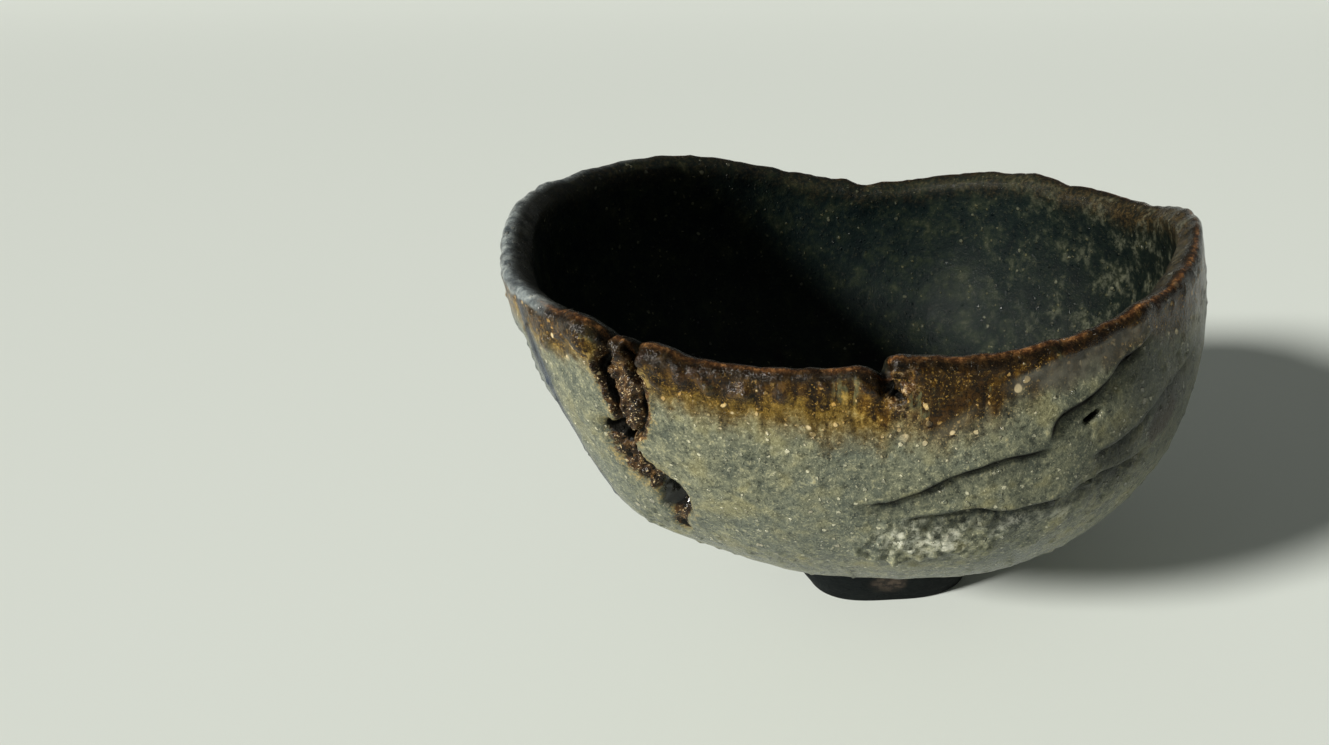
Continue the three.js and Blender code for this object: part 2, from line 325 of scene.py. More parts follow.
cavity = np.maximum(spot(248.0, 58.5, 2.5, 1.3, -12, 3), spot(248.9, 57.2, 1.3, 1.6, 0, 3))
H -= 2.8 * cavity
painted_recess_shade = np.maximum(painted_recess_shade, ramp(cavity, 0.2, 0.5))
crack = np.maximum(crack, spot(248.6, 58.0, 3.2, 2.3, -10, 3))
d, u, side = from_path(channel_line, warp_a, warp_z)
ch = bell(d, 2.5) * on_out
H -= ch * (1.4 - 1.7 * rough_clay)
crack = np.maximum(crack, bell(d, 2.9) * on_out)
painted_recess_shade = np.maximum(painted_recess_shade, 0.8 * ch * ramp(-rough_clay, 0.0, 0.25))
d2, u2, s2 = from_path(smooth([[249.6, 56.2], [250.4, 54.0], [251.6, 52.4]]), warp_a, warp_z)
H -= 0.9 * bell(d2, 0.6) * on_out
painted_recess_shade = np.maximum(painted_recess_shade, 0.8 * bell(d2, 0.7) * on_out)
pit = spot(253.8, 47.0, 2.3, 3.4, -16, 3.2)
pit_low = spot(253.9, 45.2, 1.5, 1.5, 0, 3)
H -= 2.2 * pit + 1.0 * pit_low
ring = np.clip(spot(253.8, 47.0, 3.3, 4.4, -16, 3) - pit, 0, 1)
H += 0.4 * ring
pit = ramp(np.maximum(pit, pit_low), 0.10, 0.42)
crack = np.maximum(crack * (1 - pit), 0.9 * ring * (0.75 + 0.5 * noise(P, 1.5, 36)))
d, u, side = from_path(tail_line, warp_a, warp_z)
tail = bell(d, 1.0) * on_out * ramp(1 - u, 0, 0.3)
H -= 0.9 * tail
crack = np.maximum(crack, bell(d, 1.3) * on_out * ramp(1 - u, 0, 0.3))
painted_recess_shade = np.maximum(painted_recess_shade, 0.8 * spot(251.9, 39.6, 0.9, 0.8))
# -- glossy swellings of glaze at the rim beside the crack
for at, up, wide, tall, size in ((243.4, 1.9, 1.5, 1.5, 0.6), (246.2, 2.9, 1.9, 2.3, 0.9), (251.4, 1.6, 1.4, 1.7, 0.8), (256.8, 2.2, 2.6, 1.7, 0.6), (261.2, 1.7, 2.0, 1.3, 0.35)):
    x = gap(AA, at) * RIM_RADIUS * RAD / wide
    y = (below_rim - up) / tall
    H += size * np.exp(-np.abs(x) ** 2.4 - np.abs(y) ** 2.4) * np.clip(on_out + 0.2, 0, 1) * (inside < 0.5)

# -- folds of clay on the right and the left of the front: overhanging edge, with painted shade underneath
FOLD_EDGE = 0.32
# path, proud above, dropped below, reach above, reach below, depth of painted shade, width of painted shade, painted
# shadow line
FOLDS = [
    ([[325.5, 71.3], [321.5, 69.8], [318.4, 68.2], [316.6, 66.9], [314.5, 65.2], [311.1, 63.3], [308.2, 62.0], [307.2, 60.6], [306.9, 58.0]], 0.7, 1.7, 3.5, 2.4, 1.0, 2.3, 1.2),
    ([[309, 57.6], [303.5, 56.7], [300.4, 55.9], [296.4, 54.8], [293.3, 53.4], [290.4, 51.4], [286.5, 50.1], [280, 49.4]], 0.55, 1.3, 5.0, 2.6, 0.9, 2.7, 0.8),
    ([[327, 51.8], [320.7, 50.6], [314.9, 49.8], [309.5, 48.2], [303.7, 47.2], [297.6, 47.8], [292.7, 47.0], [287, 45.2]], 0.6, 1.7, 5.0, 4.0, 1.0, 4.6, 0.6),
    ([[338, 64.5], [331.8, 62.2], [326, 59.6], [322, 57.4], [317.5, 55.6], [313, 54.2]], 0.3, 1.2, 7.0, 6.0, 0.95, 4.6, 0.2),
    ([[196, 68], [204.3, 66.1], [216, 66.8], [227, 68]], 0.6, 1.3, 4.5, 3.0, 0.8, 2.4, 0.2),
    ([[192, 54.4], [201.8, 53.9], [216.8, 52.1], [226, 54]], 0.6, 1.4, 4.5, 3.5, 0.9, 3.0, 0.2),
    ([[198, 45.0], [208, 43.4], [219, 43.6]], 0.5, 1.1, 4.5, 3.5, 0.7, 2.4, 0.2),
]
for path, lip, under, reach_up, reach_down, painted_shade, wide, painted_shade_line in FOLDS:
    d, u, side = from_path(smooth(path), AA + 0.5 * noise(P, 6.0, 41), Z + 0.45 * noise(P, 4.0, 42))
    ends = ramp(u, 0, 0.14) * ramp(1 - u, 0, 0.14) * on_out
    ends = ends * np.clip(0.92 + 0.35 * noise(P, 3.2, 43), 0, 1.05)
    H += ends * np.tanh(d / FOLD_EDGE) * np.where(side > 0, lip * np.exp(-d / reach_up), -under * np.exp(-d / reach_down))
    fold_painted_shade = np.maximum(fold_painted_shade, ends * painted_shade * np.where(side > 0, bell(d, 0.6), np.exp(-(d / wide) ** 2.6)))
    painted_recess_shade = np.maximum(painted_recess_shade, ends * painted_shade_line * np.where(side > 0, bell(d, 0.38), bell(d, 1.05)))
# -- small deep hole, a pebble in its pocket, and the crumbly crevice under the notch
hole = np.maximum(spot(313.6, 60.8, 1.15, 0.42, 22, 3), spot(312.7, 60.3, 0.55, 0.38, 0, 3))
H -= 2.0 * hole
painted_recess_shade = np.maximum(painted_recess_shade, hole)
H += 0.7 * spot(315.3, 48.2, 1.1, 0.9) - 0.7 * np.clip(spot(315.3, 48.2, 2.2, 1.8) - spot(315.3, 48.2, 1.1, 0.9), 0, 1)
crev = np.maximum(spot(286.0, 69.0, 0.8, 1.6, 10, 3), spot(286.8, 67.0, 1.6, 0.6, -15, 3))
H -= 1.9 * crev
painted_recess_shade = np.maximum(painted_recess_shade, crev)
crumbs = ramp(bell(gap(AA, 288.2), 2.2) * bell(below_rim - 3.6, 4.2), 0.2, 0.7) * on_out
H += crumbs * 0.8 * np.clip(fbm(P, 1.5, 51, 3, 0.65) * 1.8, -0.7, 1.0)
H += 0.5 * spot(276.6, 53.9, 0.7, 0.7) + 0.4 * spot(293.8, 50.8, 1.2, 0.6)

# -- beads of glaze along the lip, pits and grit on the wall
rng = np.random.default_rng(7)
kx = RIM_RADIUS * RAD


def dots(count, at, up, size, rise, where, keep=None):
    """Round bumps (or pits) at seeded places on the outside."""
    out = np.zeros_like(R)
    for i in range(count):
        a0, z0, s0 = rng.uniform(*at), rng.uniform(*up), rng.uniform(*size)
        h0 = rng.uniform(*rise)
        cols = np.nonzero(np.abs(gap(A, a0)) * kx < 3 * s0)[0]
        if not len(cols):
            continue
        y = (where[:, cols] - z0)
        x = gap(A[cols], a0)[None, :] * kx
        q = (x * x + y * y) / (s0 * s0)
        out[:, cols] += h0 * np.exp(-q ** 1.4)
    return out


lip_side = np.where((K == OUT) | (K == LIP), 1.0, 0.0) * (inside < 0.35)
beads = dots(13, (260, 273), (1.6, 3.8), (0.7, 1.2), (0.3, 0.6), below_rim) * lip_side
beads += dots(14, (273, 285), (1.4, 2.8), (0.4, 0.8), (0.15, 0.35), below_rim) * lip_side
beads += dots(36, (289, 350), (0.8, 2.6), (0.4, 1.0), (0.1, 0.35), below_rim) * lip_side
beads += dots(50, (236, 262), (0.6, 6.5), (0.35, 0.8), (0.15, 0.45), below_rim) * lip_side
beads += dots(150, (0, 360), (0.2, 2.2), (0.6, 1.5), (-0.12, 0.16), below_rim) * lip_side
H += beads
bead = np.clip(beads / 0.45, 0, 1)
grit = dots(520, (196, 352), (24, 74), (0.3, 0.7), (0.05, 0.28), Z) * np.where(K == OUT, 1.0, 0.0)
grit += dots(260, (-10, 200), (20, 76), (0.6, 1.2), (0.05, 0.2), Z) * np.where(K == OUT, 1.0, 0.0)
grit += dots(240, (281, 303), (36.5, 45.5), (0.3, 0.9), (0.12, 0.45), Z) * np.where(K == OUT, 1.0, 0.0)
H += grit * (1 - crack)
pits = dots(120, (196, 352), (26, 72), (0.3, 0.6), (0.08, 0.3), Z) * np.where(K == OUT, 1.0, 0.0)
H -= pits * (1 - crack)
# -- drip where the glaze stops above the foot
H += 0.9 * np.exp(-(gap(AA, 268.5) * 0.34 / 0.8) ** 2 - ((Z - 13.2) / 1.2) ** 2) * np.where(K == OUT, 1.0, 0.0)

# -- slow waves, throwing marks and orange peel
body = np.where(K == FOOT, 0.35, 1.0) * np.where(P[..., 2] < 0.3, 0.0, 1.0)
H += 0.42 * fbm(P, 17, 3, 2) * np.where(outside, ramp(T, 0, 0.15), 0)
H += body * (0.14 * fbm(P, 5.0, 8, 2) + 0.07 * fbm(P, 1.8, 9, 2)) * np.where(K == FOOT, 0.6, 1.0)
H += np.where(inside > 0, 0.30 * fbm(P, 10, 12, 3) + 0.10 * fbm(P, 3.0, 13, 2), 0.0) * inside
# -- wrinkles of the skin over the left part of the lip and just below it
wr = bell(gap(AA, 214), 22) * np.where(K == LIP, 1.0, 0.0) + bell(gap(AA, 214), 22) * np.exp(-np.clip(below_rim - 1.2, 0, 99) / 4.0) * np.where(K == OUT, 1.0, 0.0)
H += 0.28 * wr * np.clip(noise(P * np.array([1.0, 1.0, 0.35]), 1.6, 61), -0.4, 1)
lip_wave = np.where(K == LIP, 1.0, 0.0) + np.where(K == OUT, np.exp(-np.clip(below_rim - 1.2, 0, 99) / 2.0), 0) + np.where(K == IN, np.exp(-np.clip(below_rim - 1.2, 0, 99) / 2.0), 0)
Z_lip = 0.35 * fbm(np.stack([np.cos(AA * RAD) * RIM_RADIUS, np.sin(AA * RAD) * RIM_RADIUS, 0 * R], -1), 3.4, 71, 2) * lip_wave
H = np.where(KIND[:, None] == FOOT, np.where(P[..., 2] < 0.3, 0.0, H), H)
H[0], H[-1] = 0.0, 0.0

P = P + N * H[..., None]
P[..., 2] += Z_lip
P[..., 0] -= MIDDLE[0]
P[..., 1] -= MIDDLE[1]
P[..., 2] = np.maximum(P[..., 2], 0.0)
P[0] = P[0].mean(0)
P[-1] = P[-1].mean(0)

# ---- the closed mesh --------------------------------------------------------------------
verts = [tuple(P[0, 0] / 1000)]
inner_rows = P[1:-1].reshape(-1, 3) / 1000
verts += [tuple(v) for v in inner_rows]
verts.append(tuple(P[-1, 0] / 1000))
n_rings = ROWS - 2
faces = []
idx = 1 + np.arange(n_rings * COLUMNS).reshape(n_rings, COLUMNS)
nxt = np.roll(idx, -1, 1)
for c in range(COLUMNS):
    faces.append((0, int(nxt[0, c]), int(idx[0, c])))
for j in range(n_rings - 1):
    a, b, c, d = idx[j], nxt[j], nxt[j + 1], idx[j + 1]
    faces += list(zip(a.tolist(), b.tolist(), c.tolist(), d.tolist()))
last = 1 + n_rings * COLUMNS
for c in range(COLUMNS):
    faces.append((int(idx[-1, c]), int(nxt[-1, c]), last))

mesh = bpy.data.meshes.new("bowl_glazed")
mesh.from_pydata(verts, [], faces)
mesh.update()
mesh.polygons.foreach_set("use_smooth", [True] * len(mesh.polygons))


def attribute(name, values):
    att = mesh.attributes.new(name, "FLOAT", "POINT")
    flat = np.concatenate([[values[0].mean()], values[1:-1].ravel(), [values[-1].mean()]]).astype(np.float32)
    att.data.foreach_set("value", flat)


# =========================================================================================
# Where each finish lies
# =========================================================================================
band_width = np.interp(A, [0, 40, 100, 160, 200, 222, 232, 244, 256, 266, 276, 285, 293, 298, 304, 312, 322, 335, 350, 360],
                       [9, 8, 7, 6, 4, 6, 8, 7, 7.5, 9, 10.5, 11, 13.5, 11, 8, 4, 5, 9, 10, 9])[None, :]
wob = 1.5 * fbm(P, 6.0, 81, 3) + 1.2 * noise(P * np.array([1, 1, 0.22]), 1.6, 82)
band = (below_rim + wob) / band_width
band = np.where(inside > 0.5, (below_rim + wob) / 7.0, band)
dark_share = np.interp(A, [0, 236, 246, 256, 262, 272, 282, 288, 292, 300, 330, 360], [0.8, 0.55, 0.5, 0.55, 0.45, 0.42, 0.5, 0.72, 0.85, 0.95, 1.0, 0.8])[None, :] * np.ones_like(R)
panel_hi = np.interp(AA, [300, 303.6, 309, 314.3, 319.4, 323.0], [67.6, 68.9, 70.4, 71.2, 72.4, 72.8])
panel_lo = np.interp(AA, [300, 304.2, 307.6, 311.8, 315.8, 319.4, 323], [66.4, 66.0, 66.2, 66.6, 68.0, 69.2, 70.6])
panel = ramp(panel_hi - Z, -0.15, 0.25) * ramp(Z - panel_lo + 1.2 * noise(P, 2.4, 83), -1.0, 1.8) * ramp(12.5 - np.abs(gap(AA, 312)), 0, 4.0) * on_out
# painted shade: the right side of the outside darkened where the light falls away
right_side_painted_shade = np.clip(0.75 * ramp(gap(AA, 316), -6, 12) * ramp(-gap(AA, 60), -10, 40) + 0.50 * ramp(gap(AA, 300), -6, 8) * ramp(-gap(AA, 60), 0, 30), 0, 1) * ramp(Z, 40, 52) * (0.8 + 0.5 * fbm(P, 9, 88, 2)) * on_out
lens_mid = np.interp(AA, [291, 294, 297.5], [61.0, 62.5, 65.0])
lens = ramp(1.0 - np.abs(Z - lens_mid + 0.3) / 1.5 + 0.2 * noise(P, 1.5, 87), 0.0, 0.9) * ramp(3.6 - np.abs(gap(AA, 294.4)), 0, 2.4) * on_out
streak_line = smooth([[229.8, 76], [231.2, 71], [232.4, 66], [233.2, 58], [234.5, 50], [237.4, 44.5], [239, 41.5]])
d, u, side = from_path(streak_line, AA + 0.5 * noise(P, 5.0, 91), Z)
streak = np.exp(-(d / (1.2 + 2.0 * ramp(u, 0.12, 0.4) - 1.9 * ramp(u, 0.75, 1.0))) ** 3) * on_out
flow = ramp(gap(AA, 225.5 + (76 - Z) * 0.28 + 1.2 * noise(P, 6.0, 93)), 1.5, -1.5) * ramp(gap(AA, 150), 0, 20) * np.where(gap(AA, 150) > 0, 1.0, 0.0) * on_out
# pale speckled patch below the lower folds, brightened as painted glints
pale_specks_painted_glint = ramp(np.maximum(spot(292.0, 41.8, 11.0, 4.6, -3, 2.0), 0.75 * spot(306.0, 43.6, 16.0, 3.2, 6, 2.0)) * (0.8 + 1.0 * fbm(P, 2.0, 95, 3, 0.6)), 0.25, 1.05)
patch = ramp(spot(329.0, 55.5, 5.0, 2.6, 35, 2.5) * (1 + 0.6 * noise(P, 2.5, 96)), 0.3, 0.7)
tongue_mid = np.interp(AA, [290.5, 293.4, 297.5], [62.2, 64.6, 67.4])
tongue = ramp(1.0 - np.abs(Z - tongue_mid) / 1.3 + 0.25 * noise(P, 1.5, 97), 0.0, 0.5) * ramp(4.4 - np.abs(gap(AA, 294.6)), 0, 1.2) * on_out
foot_mask = np.where(K == FOOT, 1.0, ramp(13.4 + 0.7 * noise(P, 5, 98) - Z, -0.2, 0.6) * np.where(K == OUT, 1.0, 0.0))
pale = ramp(bell(gap(AA, 283), 13) * bell(Z - 7.5, 4.0) * (1 + 0.4 * noise(P, 3.0, 99)), 0.35, 0.9) * foot_mask
# inside: dark strokes, the well, and the side that is thinner and paler
ia, ir = AA, np.hypot(P[..., 0] + MIDDLE[0], P[..., 1] + MIDDLE[1])
strokes = np.zeros_like(R)
ix, iy = P[..., 0], P[..., 1]
for x0, y0, length, turn, w in ((-3, 42, 17, 2, 1.0), (-26, 31, 11, -60, 1.1), (-18, 19, 14, -38, 1.0), (-5, 32, 8, -80, 0.8),
                                (45, 24, 15, 22, 1.2), (12, -31, 17, -80, 0.9), (-34, -32, 5, -30, 0.9), (-54, 10, 5, 80, 1.0), (54, 16, 6, 80, 1.0)):
    c, s = math.cos(turn * RAD), math.sin(turn * RAD)
    x, y = ix - x0, iy - y0
    along, off = x * c + y * s, -x * s + y * c + 0.8 * noise(P, 3.0, 111)
    strokes = np.maximum(strokes, np.exp(-(off / w) ** 2) * ramp(length / 2 - np.abs(along), -1.0, 1.5))
strokes *= np.where(inside > 0.9, 1.0, 0.0)
well = ramp(WELL_RADIUS + 3.0 + 1.5 * noise(P, 6, 112) - np.hypot(ix - 1.5, iy - 0.8), -3.5, 3.5) * np.where(inside > 0.9, 1.0, 0.0)
paler = bell(gap(AA, 2), 46) * ramp(ir, 24, 46) * inside
# lip crest: red-brown line, brightened as painted highlight
lip_crest_painted_highlight = np.where(K == LIP, bell(T - 0.95, 0.34), 0.0) * (0.7 + 0.6 * noise(P, 2.2, 85))
lip_all = np.where(K == LIP, ramp(-T, -4.2, -3.2), 0.0) + np.where(K == OUT, ramp(1.7 - below_rim + 0.5 * noise(P, 2.5, 84), 0, 0.5), 0.0)

for name, values in (("crack", crack), ("painted_recess_shade", painted_recess_shade), ("fold_painted_shade", fold_painted_shade), ("band", band), ("panel", panel), ("streak", streak), ("flow", flow),
                     ("pale_specks_painted_glint", pale_specks_painted_glint), ("patch", patch), ("tongue", tongue), ("foot", foot_mask), ("pale", pale), ("inside", inside),
                     ("strokes", strokes), ("well", well), ("paler", paler), ("bead", bead), ("pit", pit), ("lens", lens), ("dark", dark_share),
                     ("crumbs", crumbs), ("painted_shade", right_side_painted_shade), ("lip_crest_painted_highlight", lip_crest_painted_highlight), ("lip", lip_all), ("turn", AA / 360.0)):
    attribute(name, values)

bowl = bpy.data.objects.new("bowl_glazed", mesh)
bpy.context.scene.collection.objects.link(bowl)


# =========================================================================================
# Material
# =========================================================================================
def lin(r, g, b):
    def one(c):
        c /= 255.0
        return c / 12.92 if c <= 0.04045 else ((c + 0.055) / 1.055) ** 2.4
    return (one(r), one(g), one(b), 1.0)


class Tree:
    def __init__(self, name):
        self.mat = bpy.data.materials.new(name)
        self.mat.use_nodes = True
        self.t = self.mat.node_tree
        self.t.nodes.clear()
        self.coord = self.t.nodes.new("ShaderNodeTexCoord").outputs["Object"]

    def put(self, socket, value):
        if isinstance(value, bpy.types.NodeSocket):
            self.t.links.new(value, socket)
        else:
            socket.default_value = value

    def att(self, name):
        n = self.t.nodes.new("ShaderNodeAttribute")
        n.attribute_name = name
        return n.outputs["Fac"]

    def math(self, op, a, b=0.0, c=None, clamp=False):
        n = self.t.nodes.new("ShaderNodeMath")
        n.operation = op
        n.use_clamp = clamp
        self.put(n.inputs[0], a)
        self.put(n.inputs[1], b)
        if c is not None:
            self.put(n.inputs[2], c)
        return n.outputs[0]

    def mix(self, fac, a, b, blend="MIX"):
        n = self.t.nodes.new("ShaderNodeMix")
        n.data_type = "RGBA"
        n.blend_type = blend
        n.clamp_factor = True
        self.put(n.inputs["Factor"], fac)
        self.put(n.inputs[6], a)
        self.put(n.inputs[7], b)
        return n.outputs[2]

    def step(self, v, lo, hi, a=0.0, b=1.0):
        n = self.t.nodes.new("ShaderNodeMapRange")
        n.interpolation_type = "SMOOTHSTEP"
        self.put(n.inputs["Value"], v)
        n.inputs["From Min"].default_value = lo
        n.inputs["From Max"].default_value = hi
        n.inputs["To Min"].default_value = a
        n.inputs["To Max"].default_value = b
        return n.outputs["Result"]

    def noise(self, per_mm, detail=2.0, rough=0.5, seed=0.0, warp=0.0, stretch=(1, 1, 1)):
        n = self.t.nodes.new("ShaderNodeTexNoise")
        m = self.t.nodes.new("ShaderNodeVectorMath")
        m.operation = "MULTIPLY_ADD"
        self.t.links.new(self.coord, m.inputs[0])
        m.inputs[1].default_value = stretch
        m.inputs[2].default_value = (seed, seed * 0.7, -seed * 0.4)
        self.t.links.new(m.outputs[0], n.inputs["Vector"])
        n.inputs["Scale"].default_value = 1000.0 / per_mm
        n.inputs["Detail"].default_value = detail
        n.inputs["Roughness"].default_value = rough
        n.inputs["Distortion"].default_value = warp
        return n.outputs["Fac"]

    def cells(self, size_mm, seed=0.0, warp=0.5):
        """Cells whose places are pushed about by noise, so that a dot in a cell has a ragged shape."""
        n = self.t.nodes.new("ShaderNodeTexVoronoi")
        w = self.t.nodes.new("ShaderNodeTexNoise")
        w.inputs["Scale"].default_value = 1000.0 / (size_mm * 0.35)
        w.inputs["Detail"].default_value = 0.0
        self.t.links.new(self.coord, w.inputs["Vector"])
        m = self.t.nodes.new("ShaderNodeVectorMath")
        m.operation = "MULTIPLY_ADD"
        self.t.links.new(w.outputs["Color"], m.inputs[0])
        m.inputs[1].default_value = (warp * size_mm / 1000,) * 3
        self.t.links.new(self.coord, m.inputs[2])
        self.t.links.new(m.outputs[0], n.inputs["Vector"])
        n.inputs["Scale"].default_value = 1000.0 / size_mm
        return n.outputs["Distance"], n.outputs["Color"]

    def ramp(self, v, stops):
        n = self.t.nodes.new("ShaderNodeValToRGB")
        self.put(n.inputs[0], v)
        e = n.color_ramp.elements
        while len(e) > 1:
            e.remove(e[-1])
        e[0].position, e[0].color = stops[0]
        for p, col in stops[1:]:
            x = e.new(p)
            x.color = col
        return n.outputs["Color"]


g = Tree("glazed_stoneware")
fine = g.noise(0.36, 3, 0.7, 0.1)
fleck = g.noise(1.05, 4, 0.82, 0.2, 0.0)
grain = g.noise(1.6, 3, 0.6, 0.3)
mid = g.noise(5.0, 2, 0.55, 0.6)
broad = g.noise(22.0, 1, 0.5, 0.9)
runs = g.noise(1.5, 3, 0.6, 0.4, 0.3, (1, 1, 0.2))
dist_m, col_m = g.cells(2.4, 0.5, warp=0.22)
dist_l, col_l = g.cells(4.6, 0.8, warp=0.14)
dist_s, col_s = g.cells(1.25, 0.3, warp=0.35)
sep_s = g.t.nodes.new("ShaderNodeSeparateColor")
g.t.links.new(col_s, sep_s.inputs[0])
sep_m = g.t.nodes.new("ShaderNodeSeparateColor")
g.t.links.new(col_m, sep_m.inputs[0])
sep_l = g.t.nodes.new("ShaderNodeSeparateColor")
g.t.links.new(col_l, sep_l.inputs[0])


def mul(*parts):
    out_ = parts[0]
    for part in parts[1:]:
        out_ = g.math("MULTIPLY", out_, part)
    return out_


light_fleck = g.step(fleck, 0.55, 0.66)
dark_fleck = g.step(fleck, 0.45, 0.34)
# pale specks in the glaze, brightened as painted glints
spark_painted_glint = g.step(fine, 0.67, 0.72)
blob_m = mul(g.step(g.math("SUBTRACT", dist_m, g.math("MULTIPLY", sep_m.outputs[1], 0.12)), 0.06, 0.13, 1.0, 0.0), g.step(sep_m.outputs[0], 0.52, 0.56))
blob_l = mul(g.step(g.math("SUBTRACT", dist_l, g.math("MULTIPLY", sep_l.outputs[1], 0.10)), 0.03, 0.08, 1.0, 0.0), g.step(sep_l.outputs[0], 0.36, 0.40))

grains = mul(g.step(g.math("SUBTRACT", dist_s, g.math("MULTIPLY", sep_s.outputs[1], 0.14)), 0.08, 0.20, 1.0, 0.0), g.step(sep_s.outputs[0], 0.58, 0.64))

# grey-green glaze with light and dark flecks
celadon = g.ramp(g.math("ADD", g.math("MULTIPLY", grain, 0.5), g.math("MULTIPLY", fleck, 0.5)), [
    (0.36, lin(62, 66, 56)), (0.46, lin(92, 95, 79)), (0.54, lin(108, 110, 90)), (0.66, lin(136, 134, 106))])
celadon = g.mix(mul(g.step(mid, 0.52, 0.68), 0.50), celadon, lin(134, 128, 88))
celadon = g.mix(mul(g.step(mid, 0.48, 0.34), 0.55), celadon, lin(66, 73, 66))
celadon = g.mix(mul(g.step(broad, 0.45, 0.62), 0.35), celadon, lin(84, 92, 86))
celadon = g.mix(mul(light_fleck, 0.50), celadon, lin(160, 158, 126))
celadon = g.mix(mul(dark_fleck, 0.60), celadon, lin(36, 40, 34))
celadon = g.mix(mul(g.step(fine, 0.57, 0.67), 0.58), celadon, lin(184, 180, 146))
celadon = g.mix(mul(g.step(fine, 0.43, 0.33), 0.62), celadon, lin(40, 44, 37))
celadon = g.mix(mul(grains, g.step(mid, 0.38, 0.58, 0.25, 0.75)), celadon, lin(200, 196, 166))
# painted glints on the grey-green glaze
celadon = g.mix(mul(spark_painted_glint, 0.75), celadon, lin(222, 218, 192))
celadon = g.mix(mul(blob_m, g.step(broad, 0.40, 0.60), 0.5), celadon, lin(176, 168, 142))
# pale specks with painted glints below the lower folds
celadon = g.mix(mul(g.att("pale_specks_painted_glint"), g.step(g.math("ADD", mul(fleck, 0.7), mul(grain, 0.3)), 0.42, 0.58), 0.72), celadon, lin(206, 206, 190))
# the left side is darker and bluer glaze, with smooth running streaks, partly painted reflections
left_glaze_and_painted_reflection = g.ramp(g.math("ADD", mul(runs, 0.7), mul(fleck, 0.3)), [
    (0.34, lin(34, 42, 46)), (0.47, lin(66, 74, 74)), (0.56, lin(88, 92, 84)), (0.68, lin(132, 136, 126))])
celadon = g.mix(mul(g.att("flow"), 0.85), celadon, left_glaze_and_painted_reflection)
# painted shade on the right side of the grey-green glaze
celadon = g.mix(g.att("painted_shade"), celadon, g.mix(0.60, celadon, lin(40, 43, 36)))

# band below the rim: near-black brown, amber, then olive into the grey-green
band_v = g.math("ADD", g.att("band"), g.math("MULTIPLY", g.math("SUBTRACT", mid, 0.5), 0.40))
band_v = g.math("ADD", band_v, g.math("MULTIPLY", g.math("SUBTRACT", fleck, 0.5), 0.7))
band_v = g.math("ADD", band_v, g.math("MULTIPLY", g.math("SUBTRACT", runs, 0.5), 0.4))
amber = g.ramp(g.math("ADD", mul(fleck, 0.6), mul(runs, 0.4)), [
    (0.36, lin(38, 27, 5)), (0.47, lin(80, 61, 16)), (0.56, lin(110, 87, 31)), (0.68, lin(160, 132, 64))])
brown = g.ramp(g.math("ADD", mul(fleck, 0.5), mul(runs, 0.5)), [
    (0.38, lin(14, 8, 2)), (0.50, lin(40, 26, 6)), (0.60, lin(82, 57, 14)), (0.70, lin(132, 100, 36))])
brown = g.mix(mul(g.step(mid, 0.56, 0.70), g.step(runs, 0.50, 0.62), 0.7), brown, lin(104, 108, 78))
dark_fac = g.step(g.math("SUBTRACT", band_v, g.att("dark")), -0.14, 0.16, 1.0, 0.0)
band_col = g.mix(dark_fac, amber, brown)
# painted glints on the amber band
band_col = g.mix(mul(spark_painted_glint, 0.85), band_col, lin(232, 184, 104))
band_col = g.mix(mul(g.step(fine, 0.58, 0.66), 0.55), band_col, lin(170, 134, 62))
band_col = g.mix(mul(g.step(fine, 0.43, 0.34), 0.5), band_col, lin(20, 14, 6))
band_col = g.mix(mul(grains, 0.6), band_col, lin(196, 156, 84))
band_col = g.mix(mul(blob_m, 0.75), band_col, lin(210, 182, 124))
band_col = g.mix(mul(blob_l, 0.85), band_col, lin(226, 204, 158))
band_fac = g.step(band_v, 0.52, 1.18, 1.0, 0.0)
outer_col = g.mix(band_fac, celadon, band_col)
outer_col = g.mix(mul(g.att("tongue"), 0.95), outer_col, g.mix(g.step(fleck, 0.4, 0.62), lin(16, 9, 3), lin(58, 38, 12)))
smooth_grey = g.mix(g.step(grain, 0.35, 0.65), lin(66, 65, 58), lin(90, 88, 78))
outer_col = g.mix(mul(g.att("panel"), 0.8), outer_col, smooth_grey)
outer_col = g.mix(mul(g.att("lens"), 0.45), outer_col, lin(92, 88, 72))
outer_col = g.mix(mul(g.att("patch"), 0.75), outer_col, lin(48, 36, 24))
outer_col = g.mix(mul(g.att("streak"), 0.95), outer_col, g.mix(g.step(runs, 0.4, 0.62), lin(12, 19, 31), lin(36, 48, 66)))
# painted shade: blue-black colour under the folds where the overhang shades the wall
outer_col = g.mix(mul(g.att("fold_painted_shade"), g.step(fleck, 0.66, 0.40, 0.7, 1.0), 0.94), outer_col, g.mix(g.step(grain, 0.4, 0.62), lin(8, 14, 16), lin(28, 36, 36)))

# bare clay in the crack, with gold and cream grains, the brightest lightened as painted glints
clay = g.ramp(g.math("ADD", mul(grain, 0.45), mul(fleck, 0.55)), [
    (0.38, lin(8, 5, 3)), (0.48, lin(36, 24, 13)), (0.57, lin(84, 60, 32)), (0.67, lin(164, 130, 74))])
clay = g.mix(mul(g.step(fine, 0.60, 0.66), 0.95), clay, lin(240, 214, 164))
clay = g.mix(mul(blob_m, 0.7), clay, lin(214, 190, 140))
crack_v = g.math("ADD", g.att("crack"), g.math("MULTIPLY", g.math("SUBTRACT", fleck, 0.5), 1.1))
outer_col = g.mix(g.step(crack_v, 0.40, 0.60), outer_col, clay)
rim_of_crack = mul(g.step(crack_v, 0.10, 0.35), g.step(crack_v, 0.62, 0.42))
outer_col = g.mix(mul(rim_of_crack, g.step(g.math("ADD", mul(fine, 0.6), mul(grain, 0.4)), 0.46, 0.58), 0.7), outer_col, lin(146, 126, 74))
outer_col = g.mix(mul(g.att("crumbs"), g.step(grain, 0.46, 0.60), 0.7), outer_col, g.mix(g.step(fleck, 0.5, 0.66), lin(70, 44, 20), lin(214, 186, 140)))
